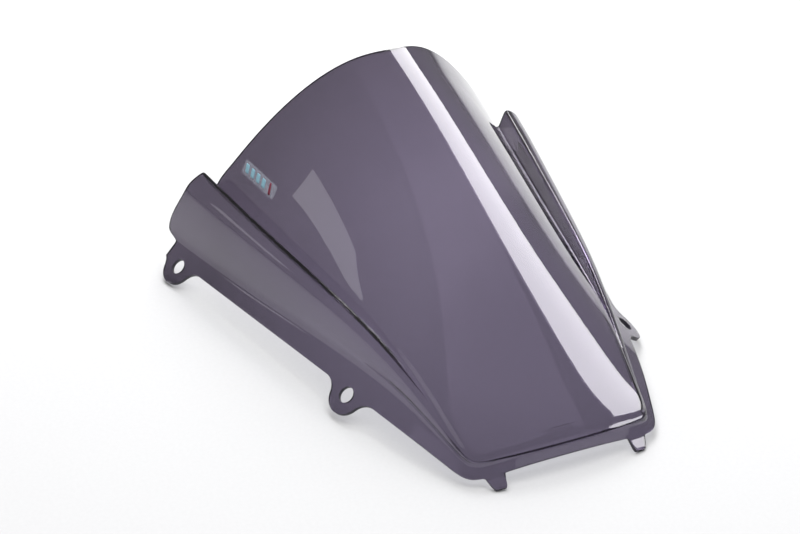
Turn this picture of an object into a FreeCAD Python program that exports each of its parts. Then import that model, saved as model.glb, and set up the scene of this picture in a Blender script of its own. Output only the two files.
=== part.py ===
"""Formed acrylic screen for a sport motorcycle, with its small badge.

The screen is one thermoformed sheet. Five guide curves run round it like nested letters U, open to the rear:
0 trimmed edge, 1 flange fold, 2 wing ridge, 3 groove bottom, 4 foot of the bubble. They are splines through
eleven stations on each side, listed from the rear corner round to the middle of the nose. Inside the foot curve
the bubble rises to a spine on the centre plane. Millimetres, +Z up, nose towards -Y, rider's right towards -X.
"""
import FreeCAD, Part
import math
import os

Vec = FreeCAD.Vector
SIDES = ((1, "left"), (-1, "right"))

# ---------------------------------------------------------------- driving dimensions
DRIVING = {
    "sheetThickness": 3.0,
    "crestRadius": 5.0,          # reach of the rounding either side of a fold
    "panelBulge": 8.0,           # how far the wing panel bows out of flat
    "spineRearY": 318.0,
    "spineRearZ": 194.5,
    "spineNoseSlope": 41.0,      # degrees
    "spineRearSlope": 17.0,
    "archRear": 1.66,            # exponents of the bubble's cross-section
    "archNose": 2.2,
    "crownBlunt": 0.18,
    "sweepBlunt": 0.11,
    "cheekTrim": -22.5,          # trailing edge at the bubble's foot against the end of the groove
    "wingTail": 20.0,            # how far the wing's lower corner reaches back past the notch
    "earRadius": 15.6,
    "earReach": 3.5,             # ear hole centre outside the straight edge
    "earFillet": 14.0,
    "rearEarY": 366.0,
    "frontEarY": 135.0,
    "earHoleRadius": 6.5,
    "tabRootWidth": 15.0,
    "tabTipWidth": 9.0,
    "tabLength": 13.5,
    "tabX": 57.5,
    "tabSlope": 32.0,            # degrees below level
    "tabToeIn": 7.0,             # degrees, tips towards the middle
    "filmThickness": 0.25,
    "printThickness": 0.12,
    "tabTipRadius": 2.5,
    "tabLift": 0.5,              # tab face over the trimmed edge
    "tabOverlap": 3.0,           # tab length buried in the flange
    "filmLength": 49.0,
    "filmWidth": 10.5,
    "barStart": 4.5,
    "barPitch": 8.5,
    "barWidth": 4.8,
    "barInset": 2.2,
    "barSlant": 2.2,
    "stripeStart": 41.0,
    "stripeWidth": 3.2,
    "stripeInset": 1.2,
    "badgeX": 114.2,             # plan position of the film's lower rear corner
    "badgeY": 362.0,
    "badgeHeading": 9.5,        # degrees from straight ahead
    "badgeSteepness": 0.55,      # plan foreshortening of the cheek
    "originY": 201.0,            # document frame to part frame
    "originZ": -2.4,
}

# One value per station for each guide: plan position and height of the trimmed edge, then the inset from
# that edge and the height of the four inner guides.
STATIONS = {
    "edgeX":       (174.3, 163.1, 144.0, 124.0, 108.5, 96.0, 84.5, 77.0, 55.0, 28.0, 0.0),
    "edgeY":       (386.0, 339.0, 254.5, 166.0, 103.0, 64.0, 33.0, 11.5, 9.0, 5.6, 5.6),
    "edgeZ":       (12.9, 13.1, 14.1, 16.2, 15.0, 12.0, 7.0, 2.5, 5.5, 9.9, 9.9),
    "foldInset":   (8.5, 8.0, 9.5, 12.5, 13.5, 11.5, 8.5, 6.5, 3.0, 1.8, 1.8),
    "foldZ":       (20.4, 21.1, 23.6, 28.2, 26.0, 19.0, 11.5, 8.5, 13.5, 17.0, 17.0),
    "ridgeInset":  (34.9, 31.8, 27.9, 24.3, 22.5, 16.5, 9.5, 7.5, 4.0, 2.8, 2.8),
    "ridgeZ":      (82.7, 79.1, 72.4, 66.0, 51.0, 34.5, 19.0, 14.0, 16.5, 19.0, 19.0),
    "grooveInset": (42.4, 39.5, 34.9, 30.3, 25.0, 18.0, 10.5, 8.5, 6.5, 5.8, 5.8),
    "grooveZ":     (67.6, 64.5, 59.3, 56.0, 50.0, 36.0, 20.0, 15.5, 18.0, 20.5, 20.5),
    "footInset":   (50.4, 47.5, 42.4, 35.9, 28.0, 20.5, 12.5, 10.5, 8.0, 7.0, 7.0),
    "footZ":       (81.6, 78.5, 71.8, 66.0, 57.5, 43.0, 26.0, 18.5, 20.5, 22.7, 22.7),
}
GUIDES = ("edge", "fold", "ridge", "groove", "foot")
STATION_COUNT = 11
ROWS = 91            # rows of control points from the rear corner to the nose
BAR_COUNT = 4
# The control points of a row on the wing: distances past the fold with the largest share of the panel they may
# take, then places on the panel with their share of its bow, and the share of the point beside the ridge.
CORNER_STEPS = ((2.0, 0.08), (4.0, 0.16), (6.5, 0.24))
PANEL_BOW = ((0.3, 0.5), (0.46, 0.8), (0.63, 1.0), (0.8, 1.0))
RIDGE_BOW = 0.55
PANEL_LENGTH = 64.0  # fold to ridge at the rear, where the bow is whole
# How far each control point of the first row reaches back, as a share of wingTail: most at the wing's lower
# corner, and forward of the corner from the ridge inwards.
TAIL_SHARES = (0, 0, 0, 0, 0, 0.45, 0.8, 0.55, 0.25, -0.05, -0.2, -0.4, -0.45, -0.5, -0.6, -0.7, -0.7, -0.8, -0.9)
DOME_COLUMNS = 14    # columns of control points from the bubble's foot to its spine


def make_sheet(doc):
    """Spreadsheet that holds every driving dimension under a plain word."""
    sheet = doc.addObject("Spreadsheet::Sheet", "Dimensions")
    row = 1
    for name, value in DRIVING.items():
        sheet.set("A%d" % row, name)
        sheet.set("B%d" % row, str(value))
        sheet.setAlias("B%d" % row, name)
        row += 1
    for name, values in STATIONS.items():
        sheet.set("A%d" % row, name)
        for column, value in enumerate(values):
            cell = "%s%d" % (chr(ord("B") + column), row)
            sheet.set(cell, str(value))
            sheet.setAlias(cell, station_alias(name, column))
        row += 1
    doc.recompute()
    return sheet


def station_alias(name, column):
    return "%sStation%s" % (name, "abcdefghijk"[column])


# ---------------------------------------------------------------- guide curves
def spline_point(controls, t):
    """Point of a clamped uniform cubic B-spline at t from 0 to 1."""
    count = len(controls)
    knots = [0.0] * 4 + [i / (count - 3) for i in range(1, count - 3)] + [1.0] * 4
    span = 3
    while span < count - 1 and t >= knots[span + 1]:
        span += 1
    work = [controls[span - 3 + i] for i in range(4)]
    for level in range(1, 4):
        for i in range(3, level - 1, -1):
            low = knots[span - 3 + i]
            share = (t - low) / (knots[span + 1 + i - level] - low)
            work[i] = work[i - 1] * (1.0 - share) + work[i] * share
    return work[3]


class Form:
    """Shape of the upper skin, worked out from the spreadsheet."""

    def __init__(self, sheet):
        self.size = {name: float(getattr(sheet, name)) for name in DRIVING}
        table = {name: [float(getattr(sheet, station_alias(name, i))) for i in range(STATION_COUNT)]
                 for name in STATIONS}
        self.guide_controls = self.place_guides(table)

    def place_guides(self, table):
        """Control points of the five guides: the edge, then insets square to it in plan."""
        edge = [Vec(x, y, 0) for x, y in zip(table["edgeX"], table["edgeY"])]
        inward = []
        for i in range(STATION_COUNT):
            along = edge[min(i + 1, STATION_COUNT - 1)] - edge[max(i - 1, 0)]
            inward.append(Vec(along.y, -along.x, 0).normalize())
        inward[-1] = Vec(0, 1, 0)
        guides = []
        for name in GUIDES:
            insets = table.get(name + "Inset", [0.0] * STATION_COUNT)
            heights = table[name + "Z"]
            guides.append([e + n * d + Vec(0, 0, z) for e, n, d, z in zip(edge, inward, insets, heights)])
        return guides

    def guide(self, index, t):
        return spline_point(self.guide_controls[index], t)

    def rearward(self, index, t, shift):
        """A shift along the guide towards the rear that dies out within the last eighth of its length."""
        fade = max(0.0, 1.0 - t / 0.13) ** 2
        tail = self.guide(index, 0.0) - self.guide(index, 0.02)
        return tail.normalize() * (shift * fade)

    def parameter_at(self, index, y, limit=0.75):
        """Parameter where a guide passes a distance y from the nose, by bisection up to a limit."""
        low, high = 0.0, limit
        for _ in range(40):
            middle = 0.5 * (low + high)
            if self.guide(index, middle).y > y:
                low = middle
            else:
                high = middle
        return low

    def parameter_at_x(self, x):
        """Parameter where the front run of the trimmed edge passes a distance x from the centre plane."""
        low, high = 0.75, 1.0
        for _ in range(40):
            middle = 0.5 * (low + high)
            if self.guide(0, middle).x > x:
                low = middle
            else:
                high = middle
        return low

    # ---- ears
    def ear_frame(self, y):
        """Hole centre, outward direction in the flange plane and flange normal of the ear at y."""
        t = self.parameter_at(0, y)
        edge = self.guide(0, t)
        along = (self.guide(0, t - 0.01) - self.guide(0, t + 0.01)).normalize()
        outward = edge - self.guide(1, t)
        outward = (outward - along * outward.dot(along)).normalize()
        normal = outward.cross(along)
        if normal.z < 0:
            normal = normal * -1
        return edge + outward * self.size["earReach"], outward, along, normal.normalize()

    def ear_bump(self, t):
        """How far the ears push the trimmed edge out of its straight run at parameter t."""
        radius = self.size["earRadius"]
        reach = self.size["earReach"]
        fillet = self.size["earFillet"]
        push = 0.0
        for y in (self.size["rearEarY"], self.size["frontEarY"]):
            centre, outward, along, normal = self.ear_frame(y)
            run = abs((self.guide(0, t) - centre).dot(along))
            # the fillet circle touches both the straight edge and the ear circle
            fillet_run = math.sqrt((radius + fillet) ** 2 - (fillet - reach) ** 2)
            touch = fillet_run * radius / (radius + fillet)
            if run <= touch:
                push = max(push, reach + math.sqrt(radius ** 2 - run ** 2))
            elif run < fillet_run:
                push = max(push, fillet - math.sqrt(fillet ** 2 - (fillet_run - run) ** 2))
        return push

    def edge_point(self, t):
        edge = self.guide(0, t)
        outward = (edge - self.guide(1, t)).normalize()
        return edge + outward * self.ear_bump(t)

    # ---- bubble
    def spine_height(self, y):
        """Height of the spine at y: a cubic Bezier curve whose y runs evenly, straight on past its rear end."""
        s = self.size
        nose = self.guide(4, 1.0)
        length = s["spineRearY"] - nose.y
        run = (y - nose.y) / length
        third = length / 3
        nose_rise = third * math.tan(math.radians(s["spineNoseSlope"]))
        rear_rise = third * math.tan(math.radians(s["spineRearSlope"]))
        if run > 1:
            return s["spineRearZ"] + rear_rise * (run - 1) * 3
        heights = (nose.z, nose.z + nose_rise, s["spineRearZ"] - rear_rise, s["spineRearZ"])
        rest = 1 - run
        weights = (rest ** 3, 3 * rest ** 2 * run, 3 * rest * run ** 2, run ** 3)
        return sum(w * z for w, z in zip(weights, heights))

    def dome_height(self, x, y):
        """Height of the bubble over a plan point.

        Each cross-section falls from the spine to the foot as a power of the distance from the centre plane,
        counted in half-widths of the bubble; the power is blunted so that the crown is round."""
        foot = self.guide(4, self.parameter_at(4, y, 1.0))
        run = min(max((y - 12.0) / 300.0, 0.0), 1.0)
        power = self.size["archRear"] * run + self.size["archNose"] * (1 - run)
        blunt = self.size["crownBlunt"]
        side = abs(x) / max(foot.x, 1.0)
        fall = (side ** 2 + blunt ** 2) ** (power / 2) - blunt ** power
        fall /= (1 + blunt ** 2) ** (power / 2) - blunt ** power
        crown = self.spine_height(y)
        return crown + (foot.z - crown) * min(fall, 2.0)

    def dome_base(self, t):
        """Plan point just inside the foot, where the bubble's own rows start."""
        foot = self.guide(4, t)
        inward = foot - self.guide(0, t)
        inward.z = 0
        return foot + inward.normalize() * self.size["crestRadius"] + self.rearward(4, t, self.size["cheekTrim"])

    def dome_point(self, t, across):
        """Control point of the bubble: across runs from 0 near the foot to 1 on the spine.

        Rows sweep forward towards the spine like a blunt arrow, so that the first row is the trailing edge."""
        base, first, last = self.dome_base(t), self.dome_base(0.0), self.dome_base(1.0)
        run = (base.y - last.y) / (first.y - last.y)
        spine_y = last.y + (self.size["spineRearY"] - last.y) * run
        side = 1 - across
        blunt = self.size["sweepBlunt"]
        sweep = math.sqrt(side ** 2 + blunt ** 2) - blunt
        sweep /= math.sqrt(1 + blunt ** 2) - blunt
        x = side * base.x
        y = spine_y + (base.y - spine_y) * sweep
        return Vec(x, y, self.dome_height(x, y))

    # ---- rows of control points
    def skirt_row(self, t):
        """Control points from the trimmed edge over flange, wing and groove to just inside the foot."""
        reach = self.size["crestRadius"]
        edge = self.edge_point(t)
        fold, ridge, groove, foot = [self.guide(i, t) for i in range(1, 5)]
        row = [edge, edge * 0.6 + fold * 0.4, toward(fold, edge, reach), fold]
        row += [toward(fold, ridge, distance, limit) for distance, limit in CORNER_STEPS]
        bow = (self.guide(2, t - 0.01) - self.guide(2, t)).cross(ridge - fold).normalize()
        bow = bow * (self.size["panelBulge"] * min(1.0, (ridge - fold).Length / PANEL_LENGTH) ** 1.2)
        for part, share in PANEL_BOW:
            row.append(fold * (1 - part) + ridge * part + bow * share)
        row += [toward(ridge, fold, reach, 0.12) + bow * RIDGE_BOW, ridge, toward(ridge, groove, reach)]
        row += [toward(groove, ridge, reach), groove, toward(groove, foot, reach)]
        row += [toward(foot, groove, reach), foot]
        tail = self.size["wingTail"]
        row = [p + self.rearward(1, t, tail * share) for p, share in zip(row, TAIL_SHARES)]
        inside = self.dome_point(t, 0.0)
        return row + [toward(row[-1], inside, reach), inside]

    def dome_row(self, t):
        return [self.dome_point(t, i / (DOME_COLUMNS - 1)) for i in range(DOME_COLUMNS)]


def toward(start, end, distance, limit=0.4):
    """Point up to a distance from start on the way to end, never past a share of it."""
    way = end - start
    length = way.Length
    if length < 1e-9:
        return start
    return start + way * (min(distance, limit * length) / length)


# ---------------------------------------------------------------- skins and solids
def clamped_knots(count, degree):
    inner = count - degree - 1
    knots = [i / (inner + 1) for i in range(inner + 2)]
    mults = [degree + 1] + [1] * inner + [degree + 1]
    return knots, mults


def spline_surface(net):
    """B-spline surface on a net of control points: cubic, or straight where the net is two points wide."""
    degree_u = min(3, len(net) - 1)
    degree_v = min(3, len(net[0]) - 1)
    u_knots, u_mults = clamped_knots(len(net), degree_u)
    v_knots, v_mults = clamped_knots(len(net[0]), degree_v)
    surface = Part.BSplineSurface()
    surface.buildFromPolesMultsKnots(net, u_mults, v_mults, u_knots, v_knots, False, False, degree_u, degree_v)
    return surface


def net_normals(net):
    """Outward unit normals at the control points, by differences between neighbours."""
    rows, columns = len(net), len(net[0])
    normals = []
    for i in range(rows):
        line = []
        for j in range(columns):
            along = net[min(i + 1, rows - 1)][j] - net[max(i - 1, 0)][j]
            across = net[i][min(j + 1, columns - 1)] - net[i][max(j - 1, 0)]
            normal = across.cross(along)
            line.append(normal.normalize() if normal.Length > 1e-6 else None)
        normals.append(line)
    return normals


def on_centre(direction):
    """The direction without its sideways part."""
    return Vec(0, direction.y, direction.z).normalize()


def offset_net(net, normals, distance):
    return [[p + n * distance for p, n in zip(*lines)] for lines in zip(net, normals)]


def mirror_net(net):
    return [[Vec(-p.x, p.y, p.z) for p in line] for line in net]


def rim(outer_line, inner_line):
    return spline_surface([outer_line, inner_line]).toShape()


def column(net, index):
    return [line[index] for line in net]


def closed_solid(faces, tolerance=0.001):
    """Sew faces into one outward-facing solid."""
    shell = Part.Shell(faces)
    shell.sewShape(tolerance)
    solid = Part.Solid(shell if shell.ShapeType == "Shell" else shell.Shells[0])
    if solid.Volume < 0:
        solid.reverse()
    return solid


def formed_sheet(form):
    """The sheet before drilling: an upper and a lower skin for each side, closed by the trimmed rims."""
    rows = [i / (ROWS - 1) for i in range(ROWS)]
    whole = [form.skirt_row(t) + form.dome_row(t)[1:] for t in rows]
    split = len(form.skirt_row(0.5)) - 1
    normals = net_normals(whole)
    for point in whole[-1]:
        point.x = 0
    nose = normals[-2][split]
    for line in normals:
        line[-1] = on_centre(line[-1] or nose)
    normals[-1] = [on_centre(n or nose) for n in normals[-1]]
    normals[-1][split:] = [on_centre(nose)] * (len(whole[0]) - split)
    lower = offset_net(whole, normals, -form.size["sheetThickness"])
    faces = []
    for sign, _ in SIDES:
        top, under = (whole, lower) if sign > 0 else (mirror_net(whole), mirror_net(lower))
        for net in (top, under):
            faces.append(spline_surface([line[:split + 1] for line in net]).toShape())
            faces.append(spline_surface([line[split:] for line in net]).toShape())
        faces.append(rim(column(top, 0), column(under, 0)))
        faces.append(rim(top[0][:split + 1], under[0][:split + 1]))
        faces.append(rim(top[0][split:], under[0][split:]))
    return closed_solid(faces)


def solid_between(bottom, top):
    """Thin solid between two nets of control points of the same size."""
    faces = [spline_surface(bottom).toShape(), spline_surface(top).toShape()]
    faces += [rim(bottom[0], top[0]), rim(bottom[-1], top[-1])]
    faces += [rim(column(bottom, 0), column(top, 0)), rim(column(bottom, -1), column(top, -1))]
    return closed_solid(faces)


# ---------------------------------------------------------------- badge
class BadgeField:
    """Lays flat shapes, given in millimetres along and across the badge, on the right cheek of the bubble."""

    def __init__(self, form):
        self.form = form
        rows = [i / (ROWS - 1) for i in range(ROWS)]
        self.skin = spline_surface(mirror_net([form.dome_row(t) for t in rows]))
        size = form.size
        self.origin = Vec(-size["badgeX"], size["badgeY"], 0)
        heading = math.radians(size["badgeHeading"])
        self.along = Vec(math.sin(heading), -math.cos(heading), 0)
        self.across = Vec(math.cos(heading), math.sin(heading), 0) * size["badgeSteepness"]

    def place(self, along, across, lift):
        """Point over the cheek, lifted square to it."""
        plan = self.origin + self.along * along + self.across * across
        guess = Vec(plan.x, plan.y, self.form.dome_height(plan.x, plan.y))
        u, v = self.skin.parameter(guess)
        normal = self.skin.normal(u, v)
        if normal.z < 0:
            normal = normal * -1
        return self.skin.value(u, v) + normal * lift

    def patch(self, start, length, low, width, slant, lift, thickness):
        """Thin tile on the cheek: a parallelogram whose ends lean by slant over its width."""
        nets = []
        for height in (lift, lift + thickness):
            nets.append([[self.place(start + length * i / 5 + slant * j / 3, low + width * j / 3, height)
                          for j in range(4)] for i in range(6)])
        return solid_between(nets[0], nets[1])


def badge_film(field, size):
    return field.patch(0, size["filmLength"], 0, size["filmWidth"], 0, 0.0, size["filmThickness"])


def badge_bar(field, size, index):
    """One of the slanted bars that stand in for the maker's printed name."""
    start = size["barStart"] + size["barPitch"] * index
    return field.patch(start, size["barWidth"], size["barInset"], size["filmWidth"] - 2 * size["barInset"],
                       -size["barSlant"], size["filmThickness"], size["printThickness"])


def badge_stripe(field, size):
    """The darker stripe that closes the row of bars."""
    return field.patch(size["stripeStart"], size["stripeWidth"], size["stripeInset"],
                       size["filmWidth"] - 2 * size["stripeInset"], -size["barSlant"] - 1,
                       size["filmThickness"], size["printThickness"])


# ---------------------------------------------------------------- document objects
def bind(item, **expressions):
    for name, expression in expressions.items():
        item.setExpression(name, expression)


def add_tab(doc, form, sign, side):
    """Bent tongue at a front corner: a tapered plate with rounded tip corners."""
    plate = doc.addObject("Part::Wedge", "TabPlate_" + side)
    bind(plate, Xmin="-Dimensions.tabRootWidth / 2", Xmax="Dimensions.tabRootWidth / 2",
         X2min="-Dimensions.tabTipWidth / 2", X2max="Dimensions.tabTipWidth / 2",
         Ymax="Dimensions.tabLength", Zmin="-Dimensions.sheetThickness", Z2min="-Dimensions.sheetThickness")
    plate.Ymin = 0
    plate.Zmax = 0
    plate.Z2max = 0
    size = form.size
    edge = form.guide(0, form.parameter_at_x(size["tabX"]))
    lean = math.radians(size["tabSlope"])
    turn = math.radians(size["tabToeIn"])
    level = Vec(-sign * math.sin(turn), -math.cos(turn), 0)
    along = level * math.cos(lean) + Vec(0, 0, -math.sin(lean))
    sideways = Vec(-math.cos(turn), sign * math.sin(turn), 0)
    normal = sideways.cross(along)
    root = Vec(sign * edge.x, edge.y, edge.z) + normal * size["tabLift"] - along * size["tabOverlap"]
    plate.Placement = FreeCAD.Placement(root, FreeCAD.Rotation(sideways, along, normal, "ZXY"))
    doc.recompute()
    rounded = doc.addObject("Part::Fillet", "Tab_" + side)
    rounded.Base = plate
    tip_edges = []
    for index, edge in enumerate(plate.Shape.Edges):
        middle = plate.Placement.inverse().multVec(edge.CenterOfMass)
        if abs(middle.y - size["tabLength"]) < 0.01 and abs(middle.x) > 1.0:
            tip_edges.append((index + 1, size["tabTipRadius"], size["tabTipRadius"]))
    rounded.Edges = tip_edges
    doc.recompute()
    return rounded


def add_hole(doc, form, sign, side, y, name):
    """Drill for one ear, square to the flange."""
    drill = doc.addObject("Part::Cylinder", "Hole_%s_%s" % (name, side))
    bind(drill, Radius="Dimensions.earHoleRadius", Height="Dimensions.sheetThickness * 5")
    centre, outward, along, normal = form.ear_frame(y)
    centre = Vec(sign * centre.x, centre.y, centre.z)
    normal = Vec(sign * normal.x, normal.y, normal.z)
    base = centre - normal * (form.size["sheetThickness"] * 3)
    drill.Placement = FreeCAD.Placement(base, FreeCAD.Rotation(Vec(0, 0, 1), normal))
    return drill


def add_feature(doc, name, shape):
    feature = doc.addObject("Part::Feature", name)
    feature.Shape = shape
    return feature


def build_shell(doc, form):
    """The drilled screen: formed sheet and tabs in one, minus the four ear holes."""
    blank = add_feature(doc, "FormedSheet", formed_sheet(form))
    tabs = [add_tab(doc, form, sign, side) for sign, side in SIDES]
    joined = doc.addObject("Part::MultiFuse", "SheetWithTabs")
    joined.Shapes = [blank] + tabs
    drills = []
    for sign, side in SIDES:
        drills.append(add_hole(doc, form, sign, side, form.size["rearEarY"], "rear"))
        drills.append(add_hole(doc, form, sign, side, form.size["frontEarY"], "front"))
    drill_set = doc.addObject("Part::Compound", "Drills")
    drill_set.Links = drills
    shell = doc.addObject("Part::Cut", "Shell")
    shell.Base = joined
    shell.Tool = drill_set
    return shell


def publish(doc, parts, form):
    """Label and place the sub-parts, check the whole document and write one file per sub-part."""
    origin = Vec(0, -form.size["originY"], -form.size["originZ"])
    for label, item in parts.items():
        item.Label = label
        item.Placement = FreeCAD.Placement(origin, FreeCAD.Rotation())
    doc.recompute()
    for item in doc.Objects:
        if "Invalid" in item.State or "Error" in item.State:
            raise RuntimeError("failed object " + item.Name)
    os.makedirs("parts", exist_ok=True)
    for label, item in parts.items():
        shape = item.Shape
        if shape.isNull() or not shape.isValid():
            raise RuntimeError("bad shape " + label)
        shape.exportStep("parts/%s.step" % label)


def main():
    doc = FreeCAD.newDocument("Screen")
    sheet = make_sheet(doc)
    form = Form(sheet)
    field = BadgeField(form)
    parts = {
        "windshield_shell": build_shell(doc, form),
        "badge_film": add_feature(doc, "Film", badge_film(field, form.size)),
        "badge_stripe": add_feature(doc, "Stripe", badge_stripe(field, form.size)),
    }
    for index in range(BAR_COUNT):
        name = "badge_bar_%d" % (index + 1)
        parts[name] = add_feature(doc, "Bar%d" % (index + 1), badge_bar(field, form.size, index))
    publish(doc, parts, form)
    for label, item in parts.items():
        box = item.Shape.BoundBox
        print(label, len(item.Shape.Solids), round(item.Shape.Volume, 1), box)
    for y in (form.size["rearEarY"], form.size["frontEarY"]):
        centre, outward, along, normal = form.ear_frame(y)
        print("ear", centre - Vec(0, form.size["originY"], form.size["originZ"]), normal)


main()
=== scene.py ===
"""Smoke acrylic windscreen of a sport motorcycle, standing dome up on a pale studio floor.

The visible screen is one skin worked out with numpy from five guide curves and a spine, then given its sheet
thickness. Lengths are in millimetres in the making and become metres when a mesh is written.
"""
import math

import bmesh
import bpy
import numpy as np
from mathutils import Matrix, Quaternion, Vector


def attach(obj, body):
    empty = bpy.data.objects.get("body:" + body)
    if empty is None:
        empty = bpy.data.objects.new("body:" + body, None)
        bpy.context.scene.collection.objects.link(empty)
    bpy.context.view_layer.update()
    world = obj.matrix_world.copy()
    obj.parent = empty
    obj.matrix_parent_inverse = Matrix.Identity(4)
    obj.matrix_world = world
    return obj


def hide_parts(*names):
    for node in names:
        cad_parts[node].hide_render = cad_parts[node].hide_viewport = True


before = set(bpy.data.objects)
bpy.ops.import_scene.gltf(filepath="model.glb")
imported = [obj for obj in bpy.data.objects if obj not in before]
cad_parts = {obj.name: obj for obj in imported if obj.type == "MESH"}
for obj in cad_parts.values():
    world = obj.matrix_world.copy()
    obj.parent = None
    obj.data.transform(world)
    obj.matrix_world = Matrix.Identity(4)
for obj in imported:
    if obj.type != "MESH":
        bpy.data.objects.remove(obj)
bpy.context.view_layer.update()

# ---------------------------------------------------------------- driving sizes, millimetres and degrees
SHEET = 3.0
FOLD_REACH = 5.0
EDGE_EASE = 0.5
PANEL_BULGE = 8.0
SPINE_REAR_Y, SPINE_REAR_Z = 318.0, 194.5
SPINE_NOSE_SLOPE, SPINE_REAR_SLOPE = 41.0, 17.0
ARCH_REAR, ARCH_NOSE = 1.66, 2.2
CROWN_BLUNT = 0.18
SWEEP_BLUNT = 0.11
CHEEK_TRIM = -22.5
WING_TAIL = 20.0
EAR_RADIUS, EAR_REACH, EAR_FILLET = 15.6, 3.5, 14.0
EAR_YS = (366.0, 135.0)
HOLE_RADIUS = 6.5
TAB_X, TAB_LENGTH, TAB_SLOPE, TAB_TOE_IN = 57.5, 10.5, 32.0, 7.0
TAB_TIP_HALF, TAB_ROOT_HALF = 3.4, 8.6
ORIGIN = np.array([0.0, 201.0, -2.4])     # where the part's own origin sits in these working coordinates
FILM_SIZE = (49.0, 10.5)
FILM_THICKNESS, PRINT_THICKNESS = 0.25, 0.12

# Eleven stations from the rear corner round to the middle of the nose: plan position and height of the
# trimmed edge, then the inset from it and the height of the flange fold, wing ridge, groove and bubble foot.
EDGE_X = (174.3, 163.1, 144.0, 124.0, 108.5, 96.0, 84.5, 77.0, 55.0, 28.0, 0.0)
EDGE_Y = (386.0, 339.0, 254.5, 166.0, 103.0, 64.0, 33.0, 11.5, 9.0, 5.6, 5.6)
INSETS = (
    (0.0,) * 11,
    (8.5, 8.0, 9.5, 12.5, 13.5, 11.5, 8.5, 6.5, 3.0, 1.8, 1.8),
    (34.9, 31.8, 27.9, 24.3, 22.5, 16.5, 9.5, 7.5, 4.0, 2.8, 2.8),
    (42.4, 39.5, 34.9, 30.3, 25.0, 18.0, 10.5, 8.5, 6.5, 5.8, 5.8),
    (50.4, 47.5, 42.4, 35.9, 28.0, 20.5, 12.5, 10.5, 8.0, 7.0, 7.0),
)
HEIGHTS = (
    (12.9, 13.1, 14.1, 16.2, 15.0, 12.0, 7.0, 2.5, 5.5, 9.9, 9.9),
    (20.4, 21.1, 23.6, 28.2, 26.0, 19.0, 11.5, 8.5, 13.5, 17.0, 17.0),
    (82.7, 79.1, 72.4, 66.0, 51.0, 34.5, 19.0, 14.0, 16.5, 19.0, 19.0),
    (67.6, 64.5, 59.3, 56.0, 50.0, 36.0, 20.0, 15.5, 18.0, 20.5, 20.5),
    (81.6, 78.5, 71.8, 66.0, 57.5, 43.0, 26.0, 18.5, 20.5, 22.7, 22.7),
)
EDGE, FOLD, RIDGE, GROOVE, FOOT = range(5)
# The wing's control points: distances past the fold with the largest share of the panel they may take, then
# places on the panel with their share of its bow, and the share of the point beside the ridge.
CORNER_STEPS = ((2.0, 0.08), (4.0, 0.16), (6.5, 0.24))
PANEL_BOW = ((0.3, 0.5), (0.46, 0.8), (0.63, 1.0), (0.8, 1.0))
RIDGE_BOW = 0.55
PANEL_LENGTH = 64.0
# How far each control point of the rearmost row reaches back, as a share of the wing tail.
TAIL_SHARES = (0, 0, 0, 0, 0, 0, 0, 0.45, 0.8, 0.55, 0.25, -0.05, -0.2, -0.4, -0.45, -0.5, -0.6, -0.7, -0.7, -0.8,
               -0.9)


# ---------------------------------------------------------------- curves
def unit(vectors):
    """Vectors over their lengths."""
    return vectors / np.maximum(np.linalg.norm(vectors, axis=-1, keepdims=True), 1e-12)


def spline_weights(count, at):
    """Weights of a clamped uniform cubic B-spline: one row per parameter, by the Cox-de Boor recursion."""
    knots = np.concatenate([np.zeros(4), np.arange(1, count - 3) / (count - 3), np.ones(4)])
    at = np.clip(np.asarray(at, float), 0, 1 - 1e-12)[:, None]
    weights = ((knots[:-1] <= at) & (at < knots[1:])).astype(float)
    for degree in range(1, 4):
        starts, ends = knots[:-degree - 1], knots[degree + 1:]
        rise = knots[degree:-1] - starts
        fall = ends - knots[1:-degree]
        up = (at - starts) / np.where(rise > 0, rise, 1)
        down = (ends - at) / np.where(fall > 0, fall, 1)
        weights = up * weights[:, :-1] + down * weights[:, 1:]
    return weights


def guide_controls():
    """Control points of the five guides: the edge, then each inset square to it in plan."""
    edge = np.stack([EDGE_X, EDGE_Y], axis=1)
    along = edge[np.minimum(np.arange(11) + 1, 10)] - edge[np.maximum(np.arange(11) - 1, 0)]
    inward = unit(np.stack([along[:, 1], -along[:, 0]], axis=1))
    inward[-1] = (0, 1)
    plan = edge[None] + inward[None] * np.array(INSETS)[:, :, None]
    return np.concatenate([plan, np.array(HEIGHTS)[:, :, None]], axis=2)


GUIDES = guide_controls()


def guide(index, t):
    """Points of one guide at parameters t, 0 at the rear and 1 on the centre plane."""
    return spline_weights(11, t) @ GUIDES[index]


FINE = np.linspace(0, 1, 6001)
FOOT_LINE = guide(FOOT, FINE)


def rearward(index, t, shift):
    """A shift towards the rear that dies out as a square within the last eighth of the guide."""
    tail = guide(index, [0.0]) - guide(index, [0.02])
    fade = np.maximum(0, 1 - np.asarray(t) / 0.13) ** 2
    return unit(tail) * (shift * fade)[:, None]


def parameter_at_y(index, y):
    """Parameter where a guide's side run passes y."""
    line = guide(index, FINE[:4501])[:, 1]
    return np.interp(-y, -line, FINE[:4501])


# ---------------------------------------------------------------- the bubble
def spine_height(y):
    """Height of the spine: a cubic Bezier curve over an even run of y, straight on past its rear end."""
    nose_y, nose_z = FOOT_LINE[-1, 1:]
    length = SPINE_REAR_Y - nose_y
    run = (y - nose_y) / length
    nose_rise = length / 3 * math.tan(math.radians(SPINE_NOSE_SLOPE))
    rear_rise = length / 3 * math.tan(math.radians(SPINE_REAR_SLOPE))
    heights = (nose_z, nose_z + nose_rise, SPINE_REAR_Z - rear_rise, SPINE_REAR_Z)
    rest = 1 - run
    weights = (rest ** 3, 3 * rest ** 2 * run, 3 * rest * run ** 2, run ** 3)
    curve = sum(w * z for w, z in zip(weights, heights))
    return np.where(run > 1, SPINE_REAR_Z + rear_rise * (run - 1) * 3, curve)


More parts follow.
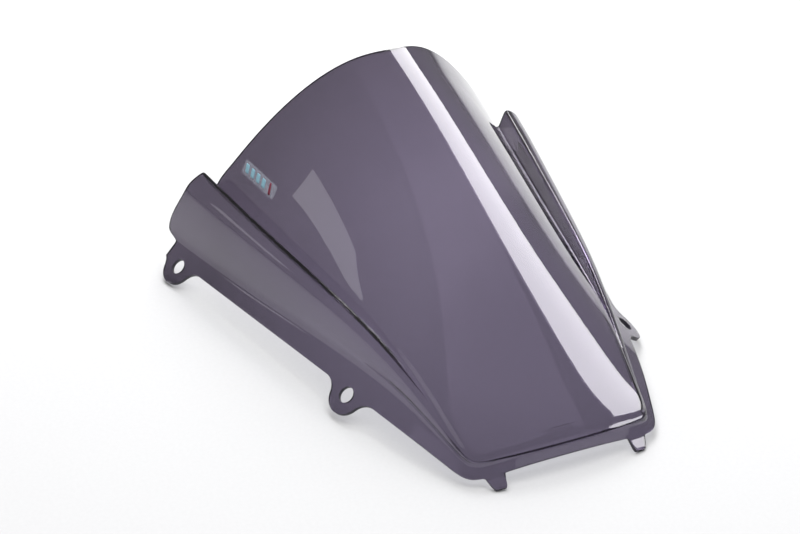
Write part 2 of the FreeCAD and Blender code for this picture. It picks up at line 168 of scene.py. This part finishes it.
def blunted(side, power):
    """A power of the distance from the centre plane, blunted near it so that the crown is round."""
    whole = (1 + CROWN_BLUNT ** 2) ** (power / 2) - CROWN_BLUNT ** power
    return ((side ** 2 + CROWN_BLUNT ** 2) ** (power / 2) - CROWN_BLUNT ** power) / whole


def dome_height(x, y):
    """Height of the bubble over plan points: spine less the drop to the foot times a blunted power."""
    order = FOOT_LINE[::-1]
    foot_x = np.interp(y, order[:, 1], order[:, 0])
    foot_z = np.interp(y, order[:, 1], order[:, 2])
    run = np.clip((y - 12) / 300, 0, 1)
    power = ARCH_REAR * run + ARCH_NOSE * (1 - run)
    side = np.abs(x) / np.maximum(foot_x, 1)
    crown = spine_height(y)
    return crown + (foot_z - crown) * np.minimum(blunted(side, power), 2)


def dome_base(t):
    """Plan points just inside the foot, where the bubble's own rows start."""
    foot = guide(FOOT, t)
    inward = foot - guide(EDGE, t)
    inward[:, 2] = 0
    return foot + unit(inward) * FOLD_REACH + rearward(FOOT, t, CHEEK_TRIM)


def dome_points(t, across):
    """Grid of points on the bubble: across runs from 0 at its base to 1 on the spine, and the rows sweep
    forward towards the spine like a blunt arrow, so that the first one is the trailing edge."""
    base = dome_base(t)
    ends = dome_base(np.array([0.0, 1.0]))
    run = (base[:, 1] - ends[1, 1]) / (ends[0, 1] - ends[1, 1])
    spine_y = ends[1, 1] + (SPINE_REAR_Y - ends[1, 1]) * run
    side = 1 - np.asarray(across)[None]
    sweep = (np.sqrt(side ** 2 + SWEEP_BLUNT ** 2) - SWEEP_BLUNT) / (math.sqrt(1 + SWEEP_BLUNT ** 2) - SWEEP_BLUNT)
    x = side * base[:, :1]
    y = spine_y[:, None] + (base[:, 1] - spine_y)[:, None] * sweep
    return np.stack([x, y, dome_height(x, y)], axis=-1)


# ---------------------------------------------------------------- trimmed edge: ears and tabs
def ear_frame(y):
    """Hole centre, outward and rearward directions and normal of the ear at y."""
    t = parameter_at_y(EDGE, y)
    edge = guide(EDGE, [t])[0]
    along = unit(guide(EDGE, [t - 0.01])[0] - guide(EDGE, [t + 0.01])[0])
    outward = edge - guide(FOLD, [t])[0]
    outward = unit(outward - along * (outward @ along))
    normal = np.cross(outward, along)
    normal = unit(normal * np.sign(normal[2]))
    return edge + outward * EAR_REACH, outward, along, normal


EARS = [ear_frame(y) for y in EAR_YS]


def ear_bump(t):
    """How far the ears push the edge out: a circle round each hole, met by fillet circles on both sides."""
    push = np.zeros(len(t))
    fillet_run = math.sqrt((EAR_RADIUS + EAR_FILLET) ** 2 - (EAR_FILLET - EAR_REACH) ** 2)
    touch = fillet_run * EAR_RADIUS / (EAR_RADIUS + EAR_FILLET)
    for centre, outward, along, normal in EARS:
        run = np.abs((guide(EDGE, t) - centre) @ along)
        circle = EAR_REACH + np.sqrt(np.maximum(EAR_RADIUS ** 2 - run ** 2, 0))
        fillet = EAR_FILLET - np.sqrt(np.maximum(EAR_FILLET ** 2 - (fillet_run - run) ** 2, 0))
        push = np.maximum(push, np.where(run <= touch, circle, np.where(run < fillet_run, fillet, 0)))
    return push


def tab_length(t):
    """Length of the bent tongue along the front edge: full over the tip, easing to nothing at the root."""
    off = np.abs(guide(EDGE, t)[:, 0] - TAB_X)
    share = np.clip((TAB_ROOT_HALF - off) / (TAB_ROOT_HALF - TAB_TIP_HALF), 0, 1)
    on_front = np.asarray(t) > 0.7
    return TAB_LENGTH * share ** 2 * (3 - 2 * share) * on_front


def toward(start, end, distance, limit=0.4):
    """Points up to a distance from start on the way to end, never past a share of it."""
    way = end - start
    length = np.linalg.norm(way, axis=1, keepdims=True)
    return start + way * np.minimum(distance / np.maximum(length, 1e-9), limit)


def skirt_rows(t):
    """Control points from the trimmed edge over tongue, flange, wing panel, ridge and groove to the foot."""
    edge, fold, ridge, groove, foot = (guide(i, t) for i in range(5))
    outer = edge + unit(edge - fold) * ear_bump(t)[:, None]
    length = tab_length(t)[:, None]
    lean, turn = math.radians(TAB_SLOPE), math.radians(TAB_TOE_IN)
    tongue = np.array([-math.sin(turn) * math.cos(lean), -math.cos(turn) * math.cos(lean), -math.sin(lean)])
    share = np.minimum(length / (0.6 * TAB_LENGTH), 1)
    row = []
    for flange_share, tongue_share in ((0.0, 1.0), (0.12, 0.5), (0.26, 0.0), (0.42, -0.3)):
        plain = outer + (fold - outer) * flange_share
        bent = outer + tongue * length * tongue_share
        if tongue_share < 0:
            bent = plain
        row.append(plain * (1 - share) + bent * share)
    row += [toward(fold, edge, FOLD_REACH), fold]
    row += [toward(fold, ridge, distance, limit) for distance, limit in CORNER_STEPS]
    behind = guide(RIDGE, np.maximum(t - 0.01, 0)) - guide(RIDGE, np.maximum(t - 0.01, 0) + 0.01)
    bow = unit(np.cross(behind, ridge - fold))
    bow *= PANEL_BULGE * np.minimum(np.linalg.norm(ridge - fold, axis=1) / PANEL_LENGTH, 1)[:, None] ** 1.2
    for part, share in PANEL_BOW:
        row.append(fold * (1 - part) + ridge * part + bow * share)
    row += [toward(ridge, fold, FOLD_REACH, 0.12) + bow * RIDGE_BOW, ridge, toward(ridge, groove, FOLD_REACH)]
    row += [toward(groove, ridge, FOLD_REACH), groove, toward(groove, foot, FOLD_REACH)]
    row += [toward(foot, groove, FOLD_REACH), foot]
    row = [p + rearward(FOLD, t, WING_TAIL * s) for p, s in zip(row, TAIL_SHARES)]
    inside = dome_points(t, [0.0])[:, 0]
    return np.stack(row + [toward(row[-1], inside, FOLD_REACH), inside], axis=1)


# ---------------------------------------------------------------- grids
def crowded(count, spots):
    """Parameters from 0 to 1 with extra ones round chosen spots: the inverse of a summed density."""
    at = np.linspace(0, 1, 20001)
    density = np.ones_like(at)
    for centre, width, gain in spots:
        density += gain * np.exp(-((at - centre) / width) ** 4)
    total = np.concatenate([[0], np.cumsum((density[1:] + density[:-1]) / 2)])
    return np.interp(np.linspace(0, 1, count), total / total[-1], at)


DOME_CONTROLS = 14
ROWS = 230
COLUMNS = 96
POLE_REACH = 9.0              # the nearly flat patch where the rows run together at the nose
POLE_DROP = 0.6


def control_rows(t):
    """Whole rows of control points from one trimmed edge over the bubble to the other, so that a row crosses
    the centre plane without a crease; the half that is used ends at its middle parameter."""
    dome = dome_points(t, np.linspace(0, 1, DOME_CONTROLS))
    half = np.concatenate([skirt_rows(t), dome[:, 1:]], axis=1)
    return np.concatenate([half, half[:, -2::-1] * (-1, 1, 1)], axis=1)


def skin_grid():
    """Half of the upper skin, x from the centre plane outwards: rows run from the rear to the nose and each
    is one cubic B-spline from the trimmed edge to the spine."""
    tab_t = np.interp(-TAB_X, -guide(EDGE, FINE[4500:])[:, 0], FINE[4500:])
    spots = [(parameter_at_y(EDGE, y), 0.055, 5) for y in EAR_YS]
    spots += [(tab_t, 0.022, 9), (0.72, 0.07, 1.5), (0.0, 0.02, 3)]
    t = crowded(ROWS, spots)
    controls = control_rows(t)
    across = crowded(COLUMNS, [(0.09, 0.12, 1.4), (0.42, 0.12, 1.6)])
    weights = spline_weights(controls.shape[1], across / 2)
    grid = np.einsum("ck,rkx->rcx", weights, controls)
    grid[-1, :, 0] = 0
    grid[:, -1, 0] = 0
    return grid


def open_holes(grid):
    """Marks the cells inside the ear holes and moves the points round them onto the hole circles."""
    keep = np.ones((grid.shape[0] - 1, grid.shape[1] - 1), bool)
    for centre, outward, along, normal in EARS:
        off = grid - centre
        flat = np.stack([off @ outward, off @ along], axis=-1)
        near = np.abs(off @ normal) < 8
        middle = (flat[:-1, :-1] + flat[1:, :-1] + flat[:-1, 1:] + flat[1:, 1:]) / 4
        inside = (np.linalg.norm(middle, axis=-1) < HOLE_RADIUS) & near[:-1, :-1]
        keep &= ~inside
        used = np.zeros(grid.shape[:2], int)
        for di in (0, 1):
            for dj in (0, 1):
                used[di:di + inside.shape[0], dj:dj + inside.shape[1]] += inside
        brim = (used > 0) & (used < 4)
        radius = np.linalg.norm(flat, axis=-1)
        scale = np.where(brim, HOLE_RADIUS / np.maximum(radius, 1e-6), 1)
        shift = (flat * scale[..., None]) - flat
        grid = grid + shift[..., :1] * outward + shift[..., 1:] * along
    return grid, keep


def mesh_piece(name, points, faces, material, smooth=True):
    """Mesh object from points in working millimetres."""
    mesh = bpy.data.meshes.new(name)
    mesh.from_pydata(((points - ORIGIN) / 1000).tolist(), [], faces.tolist())
    mesh.polygons.foreach_set("use_smooth", [smooth] * len(mesh.polygons))
    mesh.materials.append(material)
    mesh.update()
    piece = bpy.data.objects.new(name, mesh)
    bpy.context.scene.collection.objects.link(piece)
    return piece


def grid_faces(rows, columns, keep=None):
    """Quads of a grid numbered row by row."""
    corner = np.arange((rows - 1) * columns).reshape(rows - 1, columns)[:, :-1]
    if keep is not None:
        corner = corner[keep]
    corner = corner.ravel()
    return np.stack([corner, corner + 1, corner + columns + 1, corner + columns], axis=1)


def screen_piece(material):
    """Both halves of the skin, welded on the centre plane, with the sheet's thickness and eased edges."""
    half, keep = open_holes(skin_grid())
    rows, columns = half.shape[:2]
    faces = grid_faces(rows, columns, keep)
    right = half.reshape(-1, 3)
    left = right * (-1, 1, 1)
    points = np.concatenate([right, left])
    quads = np.concatenate([faces, faces[:, ::-1] + len(right)])
    piece = mesh_piece("windshield_skin", points, quads, material)
    work = bmesh.new()
    work.from_mesh(piece.data)
    seam = [v for v in work.verts if abs(v.co.x) < 1e-7]
    bmesh.ops.remove_doubles(work, verts=seam, dist=1e-6)
    pole = Vector((half[-1, -1] - ORIGIN) / 1000)
    slivers = [f for f in work.faces if max((v.co - pole).length for v in f.verts) < POLE_REACH / 1000
               and min(v.co.z for v in f.verts) > pole.z - POLE_DROP / 1000]
    bmesh.ops.dissolve_faces(work, faces=slivers, use_verts=True)
    bmesh.ops.dissolve_degenerate(work, edges=work.edges, dist=1e-7)
    loose = [v for v in work.verts if not v.link_faces]
    bmesh.ops.delete(work, geom=loose, context="VERTS")
    bmesh.ops.recalc_face_normals(work, faces=work.faces)
    crown = max(work.faces, key=lambda f: f.calc_center_median().z)
    if crown.normal.z < 0:
        bmesh.ops.reverse_faces(work, faces=work.faces)
    work.to_mesh(piece.data)
    work.free()
    wall = piece.modifiers.new("sheet", "SOLIDIFY")
    wall.thickness = SHEET / 1000
    wall.offset = -1
    wall.use_even_offset = False
    wall.material_offset_rim = 1
    ease = piece.modifiers.new("eased edges", "BEVEL")
    ease.width = EDGE_EASE / 1000
    ease.segments = 2
    ease.limit_method = "ANGLE"
    ease.angle_limit = math.radians(50)
    return piece


# ---------------------------------------------------------------- badge: generic bars on a clear film
BADGE_ORIGIN = np.array([-114.2, 362.0])
BADGE_HEADING = math.radians(9.5)
BADGE_STEEPNESS = 0.55        # how far a step up the cheek moves in plan
CHEEK_START = 0.72            # where across the skin the search for a cheek point begins
LAID_GAP = 0.03               # air under the film and under the print
NEWTON_STEPS = 9
FILM_CORNER, PRINT_CORNER = 1.6, 0.9
BAR_COUNT, BAR_START, BAR_PITCH = 4, 4.5, 8.5
BAR_LENGTH, BAR_LOW, BAR_WIDTH, BAR_SLANT = 4.8, 2.2, 6.1, -2.2
STRIPE_START, STRIPE_LENGTH, STRIPE_LOW, STRIPE_WIDTH, STRIPE_SLANT, STRIPE_TAPER = 41.0, 3.2, 1.2, 8.1, -3.2, 0.35


def skin_at(t, across):
    """Points of the upper skin at matching parameters, both between 0 and 1."""
    controls = control_rows(t)
    return np.einsum("rk,rkx->rx", spline_weights(controls.shape[1], across / 2), controls)


def laid_on_cheek(along, across, lift):
    """Points on the left cheek for badge coordinates: Newton's method finds where the skin has that plan
    position, and the point is lifted along the skin's normal."""
    heading = np.array([math.sin(BADGE_HEADING), -math.cos(BADGE_HEADING)])
    square = np.array([math.cos(BADGE_HEADING), math.sin(BADGE_HEADING)]) * BADGE_STEEPNESS
    plan = BADGE_ORIGIN + along[:, None] * heading + across[:, None] * square
    target = plan * (-1, 1)
    t = parameter_at_y(FOOT, target[:, 1])
    w = np.full(len(t), CHEEK_START)
    step = 1e-4
    for _ in range(NEWTON_STEPS):
        here = skin_at(t, w)
        by_t = (skin_at(t + step, w) - here) / step
        by_w = (skin_at(t, w + step) - here) / step
        miss = target - here[:, :2]
        det = by_t[:, 0] * by_w[:, 1] - by_t[:, 1] * by_w[:, 0]
        t = np.clip(t + np.clip((miss[:, 0] * by_w[:, 1] - miss[:, 1] * by_w[:, 0]) / det, -0.1, 0.1), 0.003, 0.9)
        w = np.clip(w + np.clip((by_t[:, 0] * miss[:, 1] - by_t[:, 1] * miss[:, 0]) / det, -0.1, 0.1), 0.5, 0.98)
    normal = unit(np.cross(by_t, by_w))
    normal *= np.sign(normal[:, 2:])
    return (here + normal * lift) * (-1, 1, 1)


def rounded_tile(name, start, length, low, width, slant, radius, lift, thickness, taper, material):
    """Thin tile laid on the cheek. Across its length the half width is full and falls along quarter circles
    at both ends; taper narrows it towards its lower end and slant leans it."""
    bend = np.linspace(0, math.pi / 2, 7)
    ends = radius * (1 - np.cos(bend))
    run = np.concatenate([ends, np.linspace(radius, length - radius, max(3, int(length / 2)))[1:-1],
                          (length - ends)[::-1]])
    inset = radius - np.sqrt(np.maximum(radius ** 2 - np.maximum(radius - np.minimum(run, length - run), 0) ** 2, 0))
    side = np.linspace(-1, 1, max(7, int(width / 1.5)))
    half = width / 2
    height = half + side[None] * (half - inset)[:, None]
    share = height / width
    along = start + length / 2 + (run[:, None] - length / 2) * (1 - taper * share) + slant * share
    flat = laid_on_cheek(along.ravel(), low + height.ravel(), lift)
    piece = mesh_piece(name, flat, grid_faces(len(run), len(side)), material)
    work = bmesh.new()
    work.from_mesh(piece.data)
    bmesh.ops.recalc_face_normals(work, faces=work.faces)
    if sum(f.normal.z for f in work.faces) < 0:
        bmesh.ops.reverse_faces(work, faces=work.faces)
    work.to_mesh(piece.data)
    work.free()
    wall = piece.modifiers.new("thickness", "SOLIDIFY")
    wall.thickness = thickness / 1000
    wall.offset = 1
    return piece


# ---------------------------------------------------------------- materials
def linear(hex_colour):
    """Linear RGBA of an sRGB hex colour."""
    parts = [int(hex_colour[i:i + 2], 16) / 255 for i in (1, 3, 5)]
    return (*[p / 12.92 if p <= 0.04045 else ((p + 0.055) / 1.055) ** 2.4 for p in parts], 1)


def node(tree, kind, settings=None, **links):
    """Adds a node. Settings are its properties, and links are its inputs: a socket to join or a value."""
    made = tree.nodes.new(kind)
    for key, value in (settings or {}).items():
        setattr(made, key, value)
    for key, value in links.items():
        wanted = key.replace("_", " ").lower()
        matches = [s for s in made.inputs if s.name.lower() == wanted or s.identifier.lower() == wanted]
        if isinstance(value, bpy.types.NodeSocket):
            tree.links.new(value, matches[0])
        else:
            matches[0].default_value = value
    return made


def new_material(name):
    """Empty node material and its tree."""
    made = bpy.data.materials.new(name)
    made.use_nodes = True
    made.node_tree.nodes.clear()
    return made, made.node_tree


def ramp(tree, value, *stops):
    """Colour ramp from a value through the given (position, sRGB hex) stops."""
    made = node(tree, "ShaderNodeValToRGB", fac=value)
    elements = made.color_ramp.elements
    while len(elements) < len(stops):
        elements.new(1.0)
    for element, (position, colour) in zip(elements, stops):
        element.position = position
    for element, (position, colour) in zip(made.color_ramp.elements, stops):
        element.color = linear(colour)
    return made.outputs["Color"]


def maths(tree, operation, *values):
    """Output of a Math node over sockets and numbers."""
    made = node(tree, "ShaderNodeMath", {"operation": operation})
    for socket, value in zip(made.inputs, values):
        if isinstance(value, bpy.types.NodeSocket):
            tree.links.new(value, socket)
        else:
            socket.default_value = value
    return made.outputs[0]


def blend(tree, amount, first, second):
    """Colour mixed from the first to the second socket by an amount."""
    made = node(tree, "ShaderNodeMix", {"data_type": "RGBA"})
    for place, socket in ((0, amount), (6, first), (7, second)):
        tree.links.new(socket, made.inputs[place])
    return made.outputs[2]


# Metres: the centre of the painted light, a lightening over the low front of the bubble, and how far it reaches.
PAINTED_LIGHT_CENTRE = (0.0, -0.10, 0.06)
PAINTED_LIGHT_REACH = 0.30
TINT_DRIFT = 0.08
SIDELONG_POWER, SIDELONG_SHARE = 4.0, 0.8


def smoke_acrylic():
    """Cast acrylic sheet, smoke tinted, heat formed and left with its factory polish: the eye sees a dark
    violet-grey glass that mirrors the lights sharply, with painted light making it lighter over the low front of the
    bubble and darker over the crown and wings, and darker where the sheet is looked through edgeways."""
    made, tree = new_material("cast acrylic, smoke tint, thermoformed")
    where = node(tree, "ShaderNodeTexCoord").outputs["Object"]
    # painted light: a spherical gradient round the low front of the bubble lightens the tint there and leaves the
    # crown and wings darker
    centred = node(tree, "ShaderNodeMapping", {"vector_type": "TEXTURE"}, vector=where,
                   location=PAINTED_LIGHT_CENTRE, scale=(PAINTED_LIGHT_REACH,) * 3)
    painted_light_gradient = node(tree, "ShaderNodeTexGradient", {"gradient_type": "SPHERICAL"},
                   vector=centred.outputs[0]).outputs["Fac"]
    drift = node(tree, "ShaderNodeTexNoise", vector=where, scale=9.0, detail=1.0).outputs["Fac"]
    # random tone drift added to the painted light gradient; together they drive both tints
    drift_and_painted_light = maths(tree, "MULTIPLY_ADD", drift, TINT_DRIFT, painted_light_gradient)
    tint = ramp(tree, drift_and_painted_light, (0.14, "#534c5b"), (0.50, "#675f72"), (0.82, "#7b7287"))
    sidelong = node(tree, "ShaderNodeLayerWeight", blend=0.5).outputs["Facing"]
    long_path = ramp(tree, drift_and_painted_light, (0.0, "#26242c"), (1.0, "#34303a"))
    shade = maths(tree, "MULTIPLY", maths(tree, "POWER", sidelong, SIDELONG_POWER), SIDELONG_SHARE)
    through_sheet = blend(tree, shade, tint, long_path)
    sheet = node(tree, "ShaderNodeBsdfPrincipled", base_color=through_sheet, roughness=0.0, ior=1.49)
    sheet.inputs["Transmission Weight"].default_value = 1.0
    clear = node(tree, "ShaderNodeBsdfTransparent", color=(0.75, 0.75, 0.765, 1))
    path = node(tree, "ShaderNodeLightPath")
    soft = maths(tree, "MAXIMUM", path.outputs["Is Shadow Ray"], path.outputs["Is Diffuse Ray"])
    mixed = node(tree, "ShaderNodeMixShader", fac=soft)
    tree.links.new(sheet.outputs[0], mixed.inputs[1])
    tree.links.new(clear.outputs[0], mixed.inputs[2])
    node(tree, "ShaderNodeOutputMaterial", surface=mixed.outputs[0])
    return made


def opaque(name, grain, low, high, roughness, **settings):
    """Opaque material whose colour wanders between two tones with a grain of the given size in millimetres."""
    made, tree = new_material(name)
    where = node(tree, "ShaderNodeTexCoord").outputs["Object"]
    marks = node(tree, "ShaderNodeTexNoise", vector=where, scale=1000.0 / grain, detail=2.0).outputs["Fac"]
    body = node(tree, "ShaderNodeBsdfPrincipled", base_color=ramp(tree, marks, (0.3, low), (0.7, high)),
                roughness=roughness, **settings)
    node(tree, "ShaderNodeOutputMaterial", surface=body.outputs[0])
    return made


def routed_edge():
    """The sheet's cut edge, routed and left matt: the eye sees a thin dark line round the screen."""
    return opaque("cast acrylic, routed edge", 1.2, "#1e1c24", "#34313c", 0.42, ior=1.49)


def clear_film():
    """Self-adhesive polyester film, clear with a faint milky cast: the eye sees a slightly lighter, glossier
    strip under the print."""
    return opaque("clear polyester film, self-adhesive", 6.0, "#a9adba", "#bcc0cb", 0.22, ior=1.5, alpha=0.22)


def blue_print():
    """Pale blue screen ink, thin enough to look a little uneven: the eye sees the bars of the badge."""
    return opaque("screen ink, pale blue", 0.8, "#7ba3b4", "#8ab5c4", 0.38)


def red_print():
    """Dark red screen ink: the eye sees the one warm accent on the screen."""
    return opaque("screen ink, dark red", 0.8, "#6f1f33", "#81283c", 0.38)


def studio_paper():
    """Seamless white studio paper with a fine tooth: the eye sees an even white ground and soft shadows."""
    return opaque("seamless white paper, matt", 3.0, "#c9c9ca", "#cbcbcc", 0.9)


# ---------------------------------------------------------------- the screen and its badge
acrylic = smoke_acrylic()
skin = screen_piece(acrylic)
skin.data.materials.append(routed_edge())
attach(skin, "root")
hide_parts("windshield_shell")

film, blue, red = clear_film(), blue_print(), red_print()
film_top = LAID_GAP + FILM_THICKNESS + LAID_GAP
film_piece = rounded_tile("badge_film_laid", 0, FILM_SIZE[0], 0, FILM_SIZE[1], 0, FILM_CORNER, LAID_GAP,
                          FILM_THICKNESS, 0, film)
badge = [(film_piece, "badge_film", "clear_film")]
for index in range(BAR_COUNT):
    bar = rounded_tile(f"badge_bar_laid_{index + 1}", BAR_START + BAR_PITCH * index, BAR_LENGTH, BAR_LOW, BAR_WIDTH,
                       BAR_SLANT, PRINT_CORNER, film_top, PRINT_THICKNESS, 0, blue)
    badge.append((bar, f"badge_bar_{index + 1}", "pale_blue_print"))
stripe = rounded_tile("badge_stripe_laid", STRIPE_START, STRIPE_LENGTH, STRIPE_LOW, STRIPE_WIDTH, STRIPE_SLANT,
                      PRINT_CORNER, film_top, PRINT_THICKNESS, STRIPE_TAPER, red)
badge.append((stripe, "badge_stripe", "dark_red_print"))
for piece, cad_node, slot in badge:
    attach(piece, "root")
    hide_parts(cad_node)

# ---------------------------------------------------------------- studio
FLOOR_REACH, FLOOR_DROP = 6.0, 0.0003        # metres; the drop keeps the floor clear of the tabs and ears
SKY_STRENGTH = 0.3
LIGHT_AIM = Vector((0.02, -0.03, 0.10))      # middle of the screen


def studio_floor():
    """Square of paper just under the screen."""
    mesh = bpy.data.meshes.new("studio_floor")
    mesh.from_pydata([(x * FLOOR_REACH, y * FLOOR_REACH, -FLOOR_DROP)
                      for x, y in ((-1, -1), (1, -1), (1, 1), (-1, 1))], [], [(0, 1, 2, 3)])
    mesh.materials.append(studio_paper())
    floor = bpy.data.objects.new("studio_floor", mesh)
    bpy.context.scene.collection.objects.link(floor)


def faced(thing, azimuth, elevation, distance, spin):
    """Stands a light off from the middle of the screen, facing it. Azimuth 0 is behind the screen and 90
    on its left-hand side."""
    a, e = math.radians(azimuth), math.radians(elevation)
    away = Vector((math.sin(a) * math.cos(e), math.cos(a) * math.cos(e), math.sin(e)))
    thing.location = LIGHT_AIM + away * distance
    thing.rotation_mode = "QUATERNION"
    thing.rotation_quaternion = away.to_track_quat("Z", "Y") @ Quaternion((0, 0, 1), math.radians(spin))
    bpy.context.scene.collection.objects.link(thing)
    return thing


def soft_box(name, azimuth, elevation, distance, width, height, spin, radiance, mirrored=True, scattered=True):
    """Rectangular light; its power follows from the radiance wanted: radiance times area times pi."""
    light = bpy.data.lights.new(name, "AREA")
    light.shape = "RECTANGLE"
    light.size, light.size_y = width, height
    light.energy = radiance * width * height * math.pi
    box = faced(bpy.data.objects.new(name, light), azimuth, elevation, distance, spin)
    box.visible_glossy = mirrored
    box.visible_diffuse = scattered
    return box


studio_floor()

world = bpy.data.worlds.new("white studio")
world.use_nodes = True
sky = world.node_tree.nodes["Background"]
sky.inputs["Color"].default_value = (1, 1, 1, 1)
sky.inputs["Strength"].default_value = SKY_STRENGTH
bpy.context.scene.world = world

soft_box("strip box", 70, 43, 2.2, 3.14, 1.22, 9.0, 10.0, scattered=False)
soft_box("low panel", -55, 12, 1.5, 0.16, 0.16, 0.0, 1.5)
soft_box("back panel", 20, 40, 2.0, 1.0, 1.0, 0.0, 11.0, mirrored=False)
soft_box("ceiling fill", 0, 90, 2.2, 3.0, 3.0, 0.0, 2.6, mirrored=False)

bpy.context.scene.view_settings.view_transform = "Standard"

camera_data = bpy.data.cameras.new("camera")
camera_data.lens = 87.75
camera_data.sensor_width = 36.0
camera = bpy.data.objects.new("camera", camera_data)
camera.location = (-0.5701, -1.1701, 0.8419)
camera.rotation_euler = (math.radians(59.0), 0.0, math.radians(-24.17))
bpy.context.scene.collection.objects.link(camera)
bpy.context.scene.camera = camera

bpy.context.view_layer.update()
